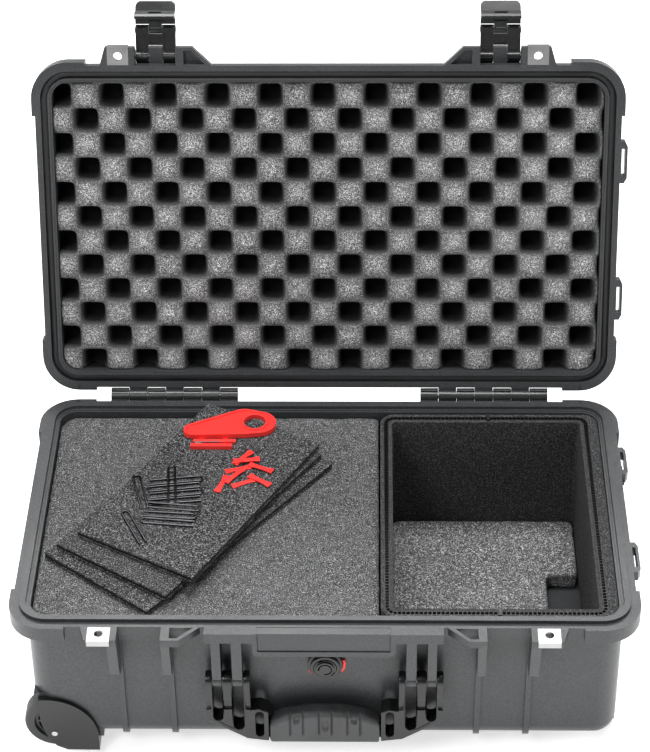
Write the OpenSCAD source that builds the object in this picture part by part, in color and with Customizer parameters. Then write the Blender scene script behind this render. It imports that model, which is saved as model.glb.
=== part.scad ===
/* [Shells] */
// Length of the sealing flange, left to right
flange_l = 546; // [520:1:580]
// Width of the sealing flange, front to back
flange_w = 316.8; // [300:0.2:340]
// Corner radius of the flange
flange_r = 32; // [28:1:40]
// Height of the parting plane above the floor
part_z = 168; // [160:1:180]
// Depth of the base shell below the parting plane
base_drop = 149; // [140:1:152]
// Height of the lid shell above the parting plane
lid_h = 52; // [48:1:60]
// Thickness of the moulded walls
wall = 4; // [3:0.5:5]

/* [Lid hinge] */
// Angle by which the lid stands open at rest
lid_open = 107.3; // [0:0.1:115]
// Distance of the hinge axis behind the flange
hinge_back = 8.5; // [8:0.1:10]
// Radius of the hinge knuckles
knuckle_r = 6; // [5:0.1:6.5]

/* [Latches and padlock eyes] */
// Middle of each latch, left and right of the centre
latch_x = 159.6; // [150:0.1:170]
// Width of a latch
latch_w = 37; // [34:0.5:37.2]
// Angle by which a latch stands open at rest
latch_open = 90; // [0:1:100]
// Middle of each padlock eye, left and right of the centre
eye_x = 194; // [193:0.5:196.5]
// Radius of a padlock eye
eye_r = 3.97; // [3:0.01:4.2]

/* [Wheels] */
// Radius of a wheel
wheel_r = 28.5; // [26:0.5:29]
// Width of a wheel
wheel_w = 19; // [16:1:20]

/* [Pull handle] */
// Travel of each telescoping stage
stage_travel = 240; // [150:5:250]

/* [Contents] */
// Right edge of the solid foam block
foam_edge_x = 48; // [40:1:60]
// Thickness of the folded divider wall
divider_t = 11.5; // [10:0.5:13]
// Thickness of a loose divider panel
panel_t = 6.5; // [5:0.5:6.5]

/* [Hidden] */
$fn = 48;

// Half sizes of the flange and the height of the shell's underside
fx = flange_l / 2;
fy = flange_w / 2;
base_z = part_z - base_drop;
// Insets from the flange's edge: outer wall, inner wall, tongue and gasket groove
out_i = 12;
in_i = out_i + wall;
tongue_i = 6.2;
tongue_w = 5.6;
tongue_h = 3;
groove_i = 5.6;
groove_w = 6.6;
groove_d = 5.8;
// Half of the gap left between the closed flanges
seam = 0.2;
flange_t = 10;
bumper_t = 15;
bumper_proud = 3;
bumper_len = 48;
wall_y = fy - out_i;
wall_x = fx - out_i;
hinge_y = fy + hinge_back;
// Running clearance between a pin and its bore, on the radius
run = 0.05;

// Front brackets: how far they stand out, their thickness, and their edges left and right
ear_y = fy + 17;
ear_t = 8;
gap_in = latch_x - 19;
gap_out = latch_x + 19;
rib_in = gap_in - 7.5;
rib_out = gap_out + 8.6;
eye_y = fy + 8.6;
plate_t = 1.5;
plate_w = 19.6;

// Latch: pivot in the lid, second pivot between link and lever
pivot_y = -(fy + 5);
pivot_z = part_z + 17;
pivot_r = 2;
lever_y = pivot_y - 1.5;
lever_z = part_z - 8;
lever_pin_r = 1.75;
tongue_half = 6.3;
latch_tip = 50;

// Front handle
grab_y = -(fy + 1.6);
grab_z = part_z - 61;
valve_z = part_z - 53.5;
grab_in = 65.2;
grab_out = 104.4;
lug_a = [90.1, 98];
lug_b = [71.6, 80.4];
grab_pin_r = 2.5;
grab_front = -(fy + 9.6);
grab_low = part_z - 133.8;
grip_half = 49.5;

// Side handle on the right end
side_x = fx - 3;
side_z = part_z - 42;
side_in = 48;
side_out = 70;
side_lug = [55, 63];
side_front = fx + 4;
side_low = 73;

// Wheels: axle line, well and bracket
axle_x = -244;
wheel_y = 128;
well_x = -249.5;
well_z = 25;
well_r = 45.3;
well_in = 108;
axle_r = 4;
rivet_r = 2.7;
wheel_front = -(wheel_y + wheel_w / 2 + 2.5);
wheel_back = -(wheel_y - wheel_w / 2 - 2.5);
hub_r = wheel_r - 9;

// Telescoping handle under the base
tube_y = 78;
tube_z = 10.8;
tube_out = [24, 13.2];
tube_mid = [21, 10.2];
tube_in = [18, 7.2];
tube_wall = 1.2;
rail_x0 = -196;
rail_x1 = 244;
frame_x1 = wall_x + 2.5;
grip_x = [250, 264];
cover_t = 2.6;
rail_half = 93;
boss_x = [-190, -80, 30, 140, 232];
boss_y = [-50, 50];
end_half = 108;
tube_lap = 168;
foot_x = 214;
foot_y = 103;
skid_y = [105, 112];

// Contents
foam_top = part_z - 6;
floor_z = base_z + wall;
liner_top = part_z - 3;
pad_top = part_z - 126;
bay_x1 = fx - in_i - 0.4;
bay_x0 = foam_edge_x + 1.2;
bay_y = fy - in_i - 0.4;
// The right side of the divider wall carries a thicker outer liner
liner_more = 5.5;
panel_l = [258, 238, 216];
panel_w = 124;
panel_turn = [52, 56, 60];
kit_z = foam_top + 3 * panel_t;
wire_r = 1.1;
cutter_at = [-91, 101.5, kit_z];
pin_half = 24;

module both() {
    children();
    mirror([1, 0, 0]) children();
}

module both_y() {
    children();
    mirror([0, 1, 0]) children();
}

// A box given by its lowest and highest corners
module bar(a, b) {
    translate(a) cube(b - a);
}

// An outline in Y and Z, extruded from x0 to x1
module slab_x(x0, x1) {
    translate([x0, 0, 0]) rotate([90, 0, 90]) linear_extrude(x1 - x0) children();
}

// An outline in X and Z, extruded from y0 to y1
module slab_y(y0, y1) {
    translate([0, y1, 0]) rotate([90, 0, 0]) linear_extrude(y1 - y0) children();
}

module rod_x(r, x0, x1, y, z) {
    translate([x0, y, z]) rotate([0, 90, 0]) cylinder(r = r, h = x1 - x0);
}

module rod_y(r, y0, y1, x, z) {
    translate([x, y1, z]) rotate([90, 0, 0]) cylinder(r = r, h = y1 - y0);
}

module round_rect(hx, hy, r) {
    square([2 * (hx - r), 2 * hy], center = true);
    square([2 * hx, 2 * (hy - r)], center = true);
    for (sx = [-1, 1], sy = [-1, 1])
        translate([sx * (hx - r), sy * (hy - r)]) circle(r);
}

// The flange's outline, moved inwards by an inset
module outline(inset) {
    round_rect(fx - inset, fy - inset, flange_r - inset);
}

module band(inset, w, z0, z1) {
    translate([0, 0, z0]) linear_extrude(z1 - z0) difference() {
        outline(inset);
        outline(inset + w);
    }
}

// A tub with a rounded floor that follows the flange at an inset
module tub(inset, z0, z1) {
    r = flange_r - inset;
    hull() for (sx = [-1, 1], sy = [-1, 1]) translate([sx * (fx - flange_r), sy * (fy - flange_r), 0]) {
        translate([0, 0, z0 + r]) sphere(r);
        translate([0, 0, z1 - 1]) cylinder(r = r, h = 1);
    }
}

// Turns what is drawn on the closed lid to where the lid stands at rest
module on_lid() {
    translate([0, hinge_y, part_z]) rotate([-lid_open, 0, 0]) translate([0, -hinge_y, -part_z]) children();
}

// Mirrors base features in the parting plane, to make those of the lid
module flip() {
    translate([0, 0, part_z]) mirror([0, 0, 1]) translate([0, 0, -part_z]) children();
}

// A latched latch, turned to where it stands at rest on the open lid
module on_latch() {
    on_lid() translate([0, pivot_y, pivot_z]) rotate([-latch_open, 0, 0]) translate([0, -pivot_y, -pivot_z])
        children();
}

// Flange, corner bumpers and knuckle-free parts that both shells share, drawn for the base
module flange() {
    band(0, in_i - 2, part_z - flange_t, part_z - seam);
    intersection() {
        band(-bumper_proud, in_i, part_z - bumper_t, part_z - seam);
        for (sx = [-1, 1], sy = [-1, 1])
            translate([sx * fx, sy * fy, part_z - 8])
                cube([2 * bumper_len, 2 * bumper_len, 30], center = true);
    }
}

// Strap lugs on the right edge of a flange
module strap_lugs() {
    for (y = [-66, 69]) difference() {
        translate([fx - 3, 0, part_z - flange_t]) linear_extrude(flange_t - seam)
            polygon([[0, y - 20], [7, y - 20], [9.5, y - 15], [9.5, y + 15], [7, y + 20], [0, y + 20]]);
        bar([fx + 1, y - 13, part_z - 20], [fx + 4, y + 13, part_z + 5]);
    }
}

module ear_outer() {
    polygon([[gap_out, -fy + 3], [gap_out, -ear_y], [206, -ear_y], [211, -fy], [211, -fy + 3]]);
}

module ear_inner(m) {
    polygon([[gap_in - m, -fy - m / 3], [gap_in - m, -ear_y + m], [125 + m * 0.4, -ear_y + m],
        [107 + 2.1 * m, -fy - m / 3]]);
}

// The two bracket ears and guard ribs beside one latch, without their holes
module ears(hollow_depth) {
    z1 = part_z - seam;
    translate([0, 0, part_z - ear_t]) linear_extrude(ear_t - seam) ear_outer();
    difference() {
        union() {
            translate([0, 0, part_z - ear_t]) linear_extrude(ear_t - seam) ear_inner(0);
            bar([108, -fy - 1, part_z - ear_t], [gap_in, -fy + 3, z1]);
        }
        translate([0, 0, z1 - hollow_depth]) linear_extrude(hollow_depth + 1) ear_inner(3);
    }
}

module guard_rib(x0, x1, foot) {
    slab_x(x0, x1) polygon([[-wall_y + 1, part_z - seam], [-ear_y, part_z - seam], [-ear_y, part_z - ear_t],
        [-ear_y + 2, part_z - ear_t - 3], [-fy - 8, part_z - foot + 8], [-fy - 4, part_z - foot + 2],
        [-wall_y + 1, part_z - foot - 2]]);
}

// Section of a tub in Y and Z, open at the top
module cradle(half, z0, z1, r) {
    translate([-half, z0 + r]) square([2 * half, z1 - z0 - r]);
    translate([-half + r, z0]) square([2 * (half - r), r + 1]);
    for (s = [-1, 1]) translate([s * (half - r), z0 + r]) circle(r);
}

// A rib that runs round a shell, drawn for the base
module girth_rib(x, w, proud, depth) {
    r = flange_r - out_i;
    slab_x(x - w / 2, x + w / 2) difference() {
        cradle(wall_y + proud, part_z - depth - proud, part_z - 8, r + proud);
        cradle(wall_y - 2, part_z - depth + 2, part_z, r - 2);
    }
}

// Knuckles k = 0, 2, 4, 6 are the base's and 1, 3, 5 are the lid's
module knuckles(first, last, up, ridge) {
    pitch = 123 / 7;
    for (k = [first:2:last]) {
        x0 = 88 + k * pitch + 0.2;
        slab_x(x0, x0 + pitch - 0.4) translate([0, part_z]) difference() {
            union() {
                polygon([[fy - 4, up * flange_t], [fy + 1, up * flange_t], [hinge_y + 2.1, up * 5.6],
                    [hinge_y, 0], [hinge_y - 4, up * seam], [fy - 4, up * seam]]);
                translate([hinge_y, 0]) circle(knuckle_r);
                translate([hinge_y, 0]) scale(ridge)
                    polygon([[0, 0], [0.68, 0.68], [0.57, 0.79], [0.3, 0.95], [0, 1], [-0.2, 0.94]]);
            }
            translate([hinge_y, 0]) circle(2.4 + run);
        }
    }
}

// Solid round a wheel well, inside the base
module well_block() {
    both_y() intersection() {
        rod_y(well_r + wall, -wall_y + 2, -well_in + wall, well_x, well_z);
        slab_y(-wall_y + 1, -well_in + wall + 1) polygon([[-wall_x + 1, 40], [-wall_x + 20, base_z + 1],
            [-190, base_z + 1], [-190, 100], [-wall_x + 1, 100]]);
    }
}

module front_handle_lugs() {
    bar([58, -fy - 9, part_z - 11], [103.5, -wall_y + 1, part_z - seam]);
    for (x = [lug_a, lug_b]) slab_x(x[0], x[1]) union() {
        polygon([[-wall_y + 1, part_z - 8], [-fy - 9, part_z - 8], [-fy - 7.6, grab_z + 6],
            [-fy - 6, grab_z + 2], [grab_y, grab_z], [-wall_y + 1, grab_z + 8]]);
        translate([grab_y, grab_z]) circle(6.3);
    }
}

module name_frame() {
    difference() {
        slab_y(-fy - 8, -wall_y + 1) translate([0, part_z - 14]) round_rect(62, 13.5, 5);
        bar([-57.5, -fy - 9, part_z - 22], [57.5, -fy - 5, part_z - 3.5]);
        bar([-57.5, -fy - 4, part_z - 24], [57.5, -wall_y - 1, part_z - 12]);
    }
}

module side_handle_lugs() {
    both_y() {
        bar([wall_x - 1, side_in - 2, part_z - 11], [fx + 3, side_out + 2, part_z - flange_t + 1]);
        slab_y(side_lug[0], side_lug[1]) union() {
            polygon([[wall_x - 1, part_z - 9], [fx + 3, part_z - 9], [fx + 3, side_z], [side_x, side_z - 6],
                [wall_x - 1, side_z - 6]]);
            translate([side_x, side_z]) circle(6);
        }
    }
}

module base_shell() {
    color("dimgray") difference() {
        union() {
            difference() {
                tub(out_i, base_z, part_z - 1);
                tub(in_i, floor_z, part_z + 20);
            }
            well_block();
            flange();
            band(tongue_i, tongue_w, part_z - 2, part_z + tongue_h);
            strap_lugs();
            both() {
                ears(ear_t + 1);
                guard_rib(gap_out, rib_out, 56);
                guard_rib(rib_in, gap_in, 56);
                bar([gap_in - 1, -fy + 5, part_z - 20], [gap_out + 1, -wall_y + 1, part_z - 14]);
                girth_rib(135.5, 5, 3, base_drop);
                girth_rib(180, 5, 3, base_drop);
                front_handle_lugs();
                knuckles(0, 6, -1, 8);
            }
            name_frame();
            side_handle_lugs();
            both_y() bar([-190, skid_y[0], 0.6], [foot_x - 17.5, skid_y[1], base_z + 1]);
            for (x = boss_x, y = boss_y) translate([x, y, cover_t])
                cylinder(r = 4.5, h = base_z - cover_t + 1);
        }
        both_y() bar([rail_x0 - 1, tube_y - 15, base_z - 8], [rail_x1 + 1, tube_y + 15, base_z]);
        for (x = boss_x, y = boss_y) translate([x, y, 0]) cylinder(r = 1.2, h = 12);
        both_y() rod_y(well_r, -wall_y - 10, -well_in, well_x, well_z);
        both() {
            translate([eye_x, -eye_y, part_z - 20]) cylinder(r = eye_r + 0.7, h = 30);
            bar([eye_x - plate_w / 2, -ear_y - 3, part_z - seam - plate_t],
                [eye_x + plate_w / 2, -fy - 0.5, part_z + 1]);
            rod_x(grab_pin_r + run, 60, 110, grab_y, grab_z);
        }
        rod_y(9.2, -wall_y - 5, -wall_y + 8, 0.6, valve_z);
        both_y() rod_y(grab_pin_r + run, side_in, side_out, side_x, side_z);
    }
}

// Folded steel plate round one padlock eye, drawn for the base
module lock_plate() {
    difference() {
        union() {
            bar([eye_x - plate_w / 2, -ear_y - plate_t, part_z - seam - plate_t],
                [eye_x + plate_w / 2, -fy - 0.5, part_z - seam]);
            bar([eye_x - plate_w / 2, -ear_y - plate_t, part_z - 6],
                [eye_x + plate_w / 2, -ear_y, part_z - seam - 0.5]);
        }
        translate([eye_x, -eye_y, part_z - 20]) cylinder(r = eye_r, h = 30);
    }
}

module base_lock_plates() {
    color("silver") both() lock_plate();
}

module lid_lock_plates() {
    color("silver") on_lid() flip() both() lock_plate();
}

module name_plate() {
    color("gray") bar([-57.3, -fy - 7, part_z - 21.8], [57.3, -fy - 5, part_z - 3.7]);
}

// Places what is drawn facing up on the front wall, at the valve
module at_valve() {
    translate([0.6, -wall_y - 0.06, valve_z]) rotate([90, 0, 0]) children();
}

// Screw-in pressure valve in the front wall
module valve_body() {
    color("dimgray") at_valve() difference() {
        union() {
            cylinder(r = 15.4, h = 4);
            cylinder(r = 13, h = 7.4);
            translate([0, 0, -7]) cylinder(r = 8.9, h = 8);
            translate([0, 0, -8]) cylinder(r = 12, h = 3.8);
        }
        translate([0, 0, 3]) cylinder(r = 10.2, h = 6);
        translate([0, 0, -9]) cylinder(r = 3, h = 20);
    }
}

// What shows of the seal: a wide red piece on the right and a small one low on the left
module valve_seal() {
    color("red") at_valve() {
        rotate(-34) rotate_extrude(angle = 50) translate([15.6, 0]) square([2.6, 2]);
        rotate(208) rotate_extrude(angle = 16) translate([15.6, 0]) square([1.6, 2]);
    }
}

module valve_knob() {
    color("dimgray") at_valve() translate([0, 0, 3.4]) difference() {
        union() {
            cylinder(r = 9.8, h = 4.4);
            cylinder(r = 8, h = 6);
        }
        rotate(-100) rotate_extrude(angle = 290) translate([5, 3.4]) square([1.3, 4]);
        rotate(100) rotate_extrude(angle = 30) translate([8.6, 2]) square([3, 4]);
        rotate(-60) rotate_extrude(angle = 30) translate([8.6, 2]) square([3, 4]);
    }
}

module hinge_pins() {
    color("silver") both() rod_x(2.4, 88.4, 210.6, hinge_y, part_z);
}

module lid_shell() {
    color("dimgray") on_lid() difference() {
        union() {
            flip() {
                difference() {
                    tub(out_i, part_z - lid_h, part_z - 1);
                    tub(in_i, part_z - lid_h + wall, part_z + 20);
                }
                flange();
                strap_lugs();
                both() {
                    ears(6.4);
                    guard_rib(gap_out, rib_out, 30);
                    guard_rib(rib_in, gap_in, 30);
                    girth_rib(135.5, 5, 3, lid_h);
                    girth_rib(180, 5, 3, lid_h);
                }
            }
            both() {
                knuckles(1, 5, 1, 5);
                bar([latch_x - tongue_half, pivot_y - 9.3, pivot_z - 4.6],
                    [latch_x + tongue_half, -wall_y + 1, pivot_z + 4.6]);
                rod_x(4.2, rib_in, gap_in, pivot_y, pivot_z);
                rod_x(4.2, gap_out, rib_out, pivot_y, pivot_z);
            }
        }
        band(groove_i, groove_w, part_z - 1, part_z + groove_d);
        both() {
            translate([eye_x, -eye_y, part_z - 10]) cylinder(r = eye_r + 0.7, h = 30);
            bar([eye_x - plate_w / 2, -ear_y - 3, part_z - 1],
                [eye_x + plate_w / 2, -fy - 0.5, part_z + seam + plate_t]);
            rod_x(pivot_r + run, rib_in + 2, rib_out - 2, pivot_y, pivot_z);
        }
    }
}

module lid_gasket() {
    color("black") on_lid() band(groove_i + 0.5, groove_w - 1, part_z + 3.4, part_z + groove_d);
}

module lid_foam() {
    color("darkgray") on_lid() intersection() {
        flip() tub(in_i + 0.4, part_z - lid_h + wall + 0.3, part_z + 10);
        bar([-fx, -fy, part_z + 22], [fx, fy, part_z + 60]);
    }
}

module latch_pivot_pins() {
    color("silver") on_lid() both() rod_x(pivot_r, rib_in + 2.2, rib_out - 2.2, pivot_y, pivot_z);
}

// Main link of a latch, latched, at the middle of its own width
module latch_link() {
    h = latch_w / 2;
    difference() {
        union() {
            rod_x(5, -h, h, pivot_y, pivot_z);
            bar([-h, pivot_y - 6, lever_z + 1], [h, pivot_y + 2.5, pivot_z]);
            bar([-h, pivot_y - 4.5, pivot_z - 1], [h, pivot_y - 0.5, pivot_z + 10.5]);
            bar([-h - 0.4, pivot_y - 5.5, lever_z - 2.3], [h + 0.4, pivot_y + 3, lever_z + 2.2]);
            rod_x(4.5, -h, h, lever_y, lever_z);
        }
        bar([-tongue_half - 0.3, pivot_y - 7, pivot_z - 11], [tongue_half + 0.3, pivot_y + 6, pivot_z + 12]);
        bar([-tongue_half, lever_y - 6, lever_z - 6], [tongue_half, lever_y + 8, lever_z + 3.8]);
        for (s = [-1, 1]) translate([s * 12.6, 0, 0])
            bar([-4.9, pivot_y + 1.4, lever_z + 3], [4.9, pivot_y + 6, pivot_z - 6]);
        bar([-5.4, pivot_y + 1, lever_z + 5.4], [5.4, pivot_y + 6, pivot_z - 12]);
        rod_x(pivot_r + run, -h - 1, h + 1, pivot_y, pivot_z);
        rod_x(lever_pin_r + run, -h - 1, h + 1, lever_y, lever_z);
    }
}

// Pull lever and hook of a latch
module latch_lever() {
    h = latch_w / 2;
    tip_z = pivot_z - latch_tip;
    difference() {
        union() {
            rod_x(3.4, -tongue_half + 0.3, tongue_half - 0.3, lever_y, lever_z);
            bar([-tongue_half + 0.3, lever_y - 3, lever_z - 8], [tongue_half - 0.3, lever_y + 2.6, lever_z]);
            intersection() {
                slab_x(-h, h) polygon([[lever_y - 6.5, lever_z - 5.2], [lever_y + 1, lever_z - 5.2],
                    [lever_y + 2, lever_z - 6.5], [lever_y + 2, lever_z - 12.6],
                    [lever_y + 13.5, lever_z - 12.6], [lever_y + 13.5, lever_z - 15],
                    [lever_y + 11.5, lever_z - 16.8], [lever_y - 0.5, lever_z - 17.4],
                    [lever_y - 3.5, tip_z + 3], [lever_y - 5.5, tip_z], [lever_y - 8.5, tip_z],
                    [lever_y - 8, tip_z + 4], [lever_y - 6.5, lever_z - 14]]);
                slab_y(lever_y - 12, lever_y + 20) translate([0, tip_z + 20]) round_rect(h, 20, 4.5);
            }
        }
        rod_x(lever_pin_r + run, -h, h, lever_y, lever_z);
        bar([-6, lever_y + 3, lever_z - 30], [6, lever_y + 9.5, lever_z + 2]);
        bar([-6, lever_y + 0.6, lever_z - 11.8], [6, lever_y + 4, lever_z - 7.8]);
    }
}

module latch_link_left() {
    color("dimgray") on_latch() translate([-latch_x, 0, 0]) latch_link();
}

module latch_link_right() {
    color("dimgray") on_latch() translate([latch_x, 0, 0]) latch_link();
}

module lever_pin_left() {
    color("silver") on_latch() rod_x(lever_pin_r, -latch_x - 18.2, -latch_x + 18.2, lever_y, lever_z);
}

module lever_pin_right() {
    color("silver") on_latch() rod_x(lever_pin_r, latch_x - 18.2, latch_x + 18.2, lever_y, lever_z);
}

module latch_lever_left() {
    color("dimgray") on_latch() translate([-latch_x, 0, 0]) latch_lever();
}

module latch_lever_right() {
    color("dimgray") on_latch() translate([latch_x, 0, 0]) latch_lever();
}

// Front handle: two slotted arms and the bar under the rubber grip
module front_handle_frame() {
    back = grab_y + 8;
    color("dimgray") difference() {
        union() {
            both() intersection() {
                slab_y(grab_front, back) polygon([[grab_in, grab_z + 9], [grab_out, grab_z + 9],
                    [grab_out, grab_z - 42.5], [68.8, grab_z - 65.8], [grip_half + 0.3, grab_z - 68.6],
                    [grip_half + 0.3, grab_z - 33], [57, grab_z - 29.5], [grab_in, grab_z - 31]]);
                slab_x(grip_half, grab_out) union() {
                    translate([grab_y, grab_z]) circle(8);
                    translate([grab_front, grab_low - 1]) square([back - grab_front, grab_z - grab_low + 1]);
                }
            }
            bar([-grip_half - 4, grab_y - 5, grab_low + 7], [grip_half + 4, grab_y + 6, grab_low + 22]);
        }
        both() {
            for (x = [lug_a, lug_b]) {
                w = (x[1] - x[0]) / 2 + 0.4;
                low = grab_z - 39 - (98 - x[1]) * 0.6;
                slab_y(grab_front - 1, back + 1) translate([(x[0] + x[1]) / 2, 0]) union() {
                    translate([0, low]) circle(w);
                    translate([-w, low]) square([2 * w, 90]);
                }
            }
            slab_y(grab_front - 1, back + 1) translate([57.6, grab_z - 59.4]) union() {
                circle(3.6);
                translate([0, 23]) circle(3.6);
                translate([-3.6, 0]) square([7.2, 23]);
            }
            bar([grab_in - 1, grab_front - 1, grab_z - 29.5], [grab_in + 4.4, grab_front + 2.5, grab_z - 18]);
            bar([81.8, grab_front - 1, grab_z - 29.5], [88.8, grab_front + 2.5, grab_z - 18]);
            bar([grab_out - 4.6, grab_front - 1, grab_z - 29.5],
                [grab_out + 1, grab_front + 2.5, grab_z - 18]);
            rod_x(grab_pin_r + run, 60, 110, grab_y, grab_z);
        }
    }
}

// Rubber sleeve moulded over the bar between the arms
module front_handle_grip() {
    color("black") difference() {
        intersection() {
            slab_x(-grip_half, grip_half) translate([grab_y + 0.5, grab_low + 19]) round_rect(9, 19, 8);
            slab_y(grab_front - 9, grab_front + 30) polygon([[-grip_half, grab_low], [grip_half, grab_low],
                [grip_half, grab_low + 26.3], [35, grab_low + 33.5], [15, grab_low + 38], [-15, grab_low + 38],
                [-35, grab_low + 33.5], [-grip_half, grab_low + 26.3]]);
        }
        bar([-60, grab_y - 5, grab_low + 7], [60, grab_y + 6, grab_low + 22]);
    }
}

module front_handle_pins() {
    color("silver") both() rod_x(grab_pin_r, grab_in + 0.3, grab_out - 0.3, grab_y, grab_z);
}

module side_handle_frame() {
    back = side_x - 7;
    color("dimgray") difference() {
        union() {
            both_y() intersection() {
                slab_x(back, side_front) polygon([[side_in, side_z + 8], [side_out, side_z + 8],
                    [side_out, side_low + 14], [side_out - 14, side_low], [30, side_low], [30, side_low + 16],
                    [side_in - 6, side_low + 18], [side_in, side_low + 24]]);
                slab_y(20, side_out) union() {
                    translate([side_x, side_z]) circle(7);
                    translate([back, side_low - 1]) square([side_front - back, side_z - side_low + 1]);
                }
            }
            bar([side_x - 3, -40, side_low + 4], [side_x + 4, 40, side_low + 13]);
        }
        both_y() bar([back - 1, side_lug[0] - 0.4, side_low + 26],
            [side_front + 1, side_lug[1] + 0.4, side_z + 20]);
        both_y() rod_y(grab_pin_r + run, side_in - 1, side_out + 1, side_x, side_z);
    }
}

module side_handle_grip() {
    color("black") difference() {
        hull() for (s = [-1, 1], z = [0, 3]) translate([side_x + 0.4, s * 28, side_low + 7 + z])
            rotate([90, 0, 0]) cylinder(r = 6.4, h = 3, center = true);
        bar([side_x - 3, -40, side_low + 4], [side_x + 4, 40, side_low + 13]);
    }
}

module side_handle_pins() {
    color("silver") both_y() rod_y(grab_pin_r, side_in + 0.3, side_out - 0.3, side_x, side_z);
}

// Bracket that carries one wheel, drawn at the front
module wheel_bracket() {
    face = -wall_y - 3.6;
    r = well_r - 0.4;
    difference() {
        slab_y(face, -well_in - 0.3) intersection() {
            union() {
                translate([well_x, well_z]) circle(r);
                translate([well_x, 5]) square([r, well_z - 5]);
            }
            polygon([[-256, 76], [-256.5, 56], [-255, 40], [-252.5, 30], [-249, 21], [-243, 12.6],
                [-233.4, 7.8], [-190, 7.4], [-190, 76]]);
        }
        rod_y(well_r - 5, wheel_front, wheel_back, well_x, well_z);
        bar([-300, wheel_front, -1], [axle_x + wheel_r + 3.2, wheel_back, well_z + 4]);
        rod_y(axle_r + run, face + 2, -100, axle_x, wheel_r);
        rod_y(rivet_r + run, face - 1, face + 3, axle_x, wheel_r);
    }
}

module wheel_bracket_front() {
    color("#303234") wheel_bracket();
}

module wheel_bracket_rear() {
    color("#303234") mirror([0, 1, 0]) wheel_bracket();
}

module wheel_axle() {
    face = -wall_y - 3.6;
    rod_y(axle_r, face + 2.1, -well_in - 0.6, axle_x, wheel_r);
    rod_y(rivet_r, face - 0.8, face + 2.2, axle_x, wheel_r);
}

module wheel_axle_front() {
    color("silver") wheel_axle();
}

module wheel_axle_rear() {
    color("silver") mirror([0, 1, 0]) wheel_axle();
}

module wheel_tyre() {
    translate([axle_x, -wheel_y, wheel_r]) rotate([90, 0, 0]) rotate_extrude() {
        translate([hub_r, -wheel_w / 2]) square([wheel_r - hub_r - 3, wheel_w]);
        translate([hub_r, -wheel_w / 2 + 3]) square([wheel_r - hub_r, wheel_w - 6]);
        for (s = [-1, 1]) translate([wheel_r - 3, s * (wheel_w / 2 - 3)]) circle(3);
    }
}

module wheel_hub() {
    translate([axle_x, -wheel_y, wheel_r]) rotate([90, 0, 0]) difference() {
        union() {
            cylinder(r = hub_r, h = wheel_w - 6, center = true);
            cylinder(r = 8, h = wheel_w, center = true);
        }
        cylinder(r = axle_r + run, h = 60, center = true);
        for (s = [-1, 1]) translate([0, 0, s * wheel_w / 2 - s * 1]) difference() {
            cylinder(r = hub_r - 3, h = wheel_w - 8, center = true);
            cylinder(r = 8, h = wheel_w, center = true);
            for (a = [0:60:300]) rotate(a) translate([0, -1.5, -15]) cube([30, 3, 30]);
        }
    }
}

module wheel_tyre_front() {
    color("#232426") wheel_tyre();
}

module wheel_tyre_rear() {
    color("#232426") mirror([0, 1, 0]) wheel_tyre();
}

module wheel_hub_front() {
    color("#3a3c3e") wheel_hub();
}

module wheel_hub_rear() {
    color("#3a3c3e") mirror([0, 1, 0]) wheel_hub();
}

// Rectangular tube profile along X
module tube(size, x0, x1) {
    both_y() translate([0, tube_y, tube_z]) rotate([90, 0, 90]) translate([0, 0, x0]) linear_extrude(x1 - x0)
        difference() {
            square(size, center = true);
            square([size[0] - 2 * tube_wall, size[1] - 2 * tube_wall], center = true);
        }
}

module trolley_housing() {
    half = tube_out[0] / 2 + 0.1;
    color("dimgray") difference() {
        both_y() bar([rail_x0, tube_y - half - 2.6, cover_t], [rail_x1, tube_y + half + 2.6, base_z]);
        both_y() bar([rail_x0 + 3, tube_y - half, tube_z - tube_out[1] / 2 - 0.1],
            [rail_x1 + 1, tube_y + half, tube_z + tube_out[1] / 2 + 0.1]);
    }
}

module trolley_cover() {
    color("#2c2e30") difference() {
        bar([rail_x0, -rail_half, 0], [rail_x1, rail_half, cover_t]);
        for (x = boss_x, y = boss_y) translate([x, y, -1]) {
            cylinder(r = 1.7, h = 6);
            cylinder(r = 4.2, h = 2.2);
        }
    }
}

module trolley_screws() {
    color("silver") for (x = boss_x, y = boss_y) translate([x, y, 0]) difference() {
        union() {
            translate([0, 0, 0.2]) cylinder(r = 3.9, h = 1);
            cylinder(r = 1.15, h = 10);
        }
        translate([0, 0, -0.5]) cylinder(r = 1.5, h = 1.2, $fn = 6);
    }
}

module trolley_outer_tubes() {
    color("silver") tube(tube_out, rail_x0 + 5, rail_x1);
}

module trolley_mid_tubes() {
    color("silver") tube(tube_mid, rail_x1 - stage_travel - tube_lap, rail_x1 + 2);
}

module trolley_inner_tubes() {
    color("silver") tube(tube_in, rail_x1 - stage_travel - tube_lap - 10, grip_x[1] - 2);
}

// Moulded frame on the right end that guides the tubes and takes the stored grip
module trolley_end_frame() {
    color("#2c2e30") difference() {
        slab_x(rail_x1 + 0.4, frame_x1) translate([0, 37]) round_rect(end_half, 34, 8);
        tub(out_i - 0.3, base_z - 0.3, part_z);
        bar([wall_x + 0.6, -95, 24], [frame_x1 + 1, 95, 64]);
        both_y() bar([rail_x1 - 1, tube_y - 11, tube_z - 5.6], [frame_x1 + 1, tube_y + 11, tube_z + 5.6]);
        bar([grip_x[0] - 0.5, -88.5, 2], [frame_x1 + 1, 88.5, 20]);
    }
}

module trolley_grip() {
    color("black") difference() {
        slab_x(grip_x[0], grip_x[1]) translate([0, 11.5]) round_rect(88, 8, 5);
        both_y() bar([grip_x[0] - 1, tube_y - tube_in[0] / 2, tube_z - tube_in[1] / 2],
            [grip_x[1] - 2, tube_y + tube_in[0] / 2, tube_z + tube_in[1] / 2]);
        bar([grip_x[1] - 5.8, -16.4, 7.1], [grip_x[1] + 1, 16.4, 15.9]);
    }
}

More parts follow.
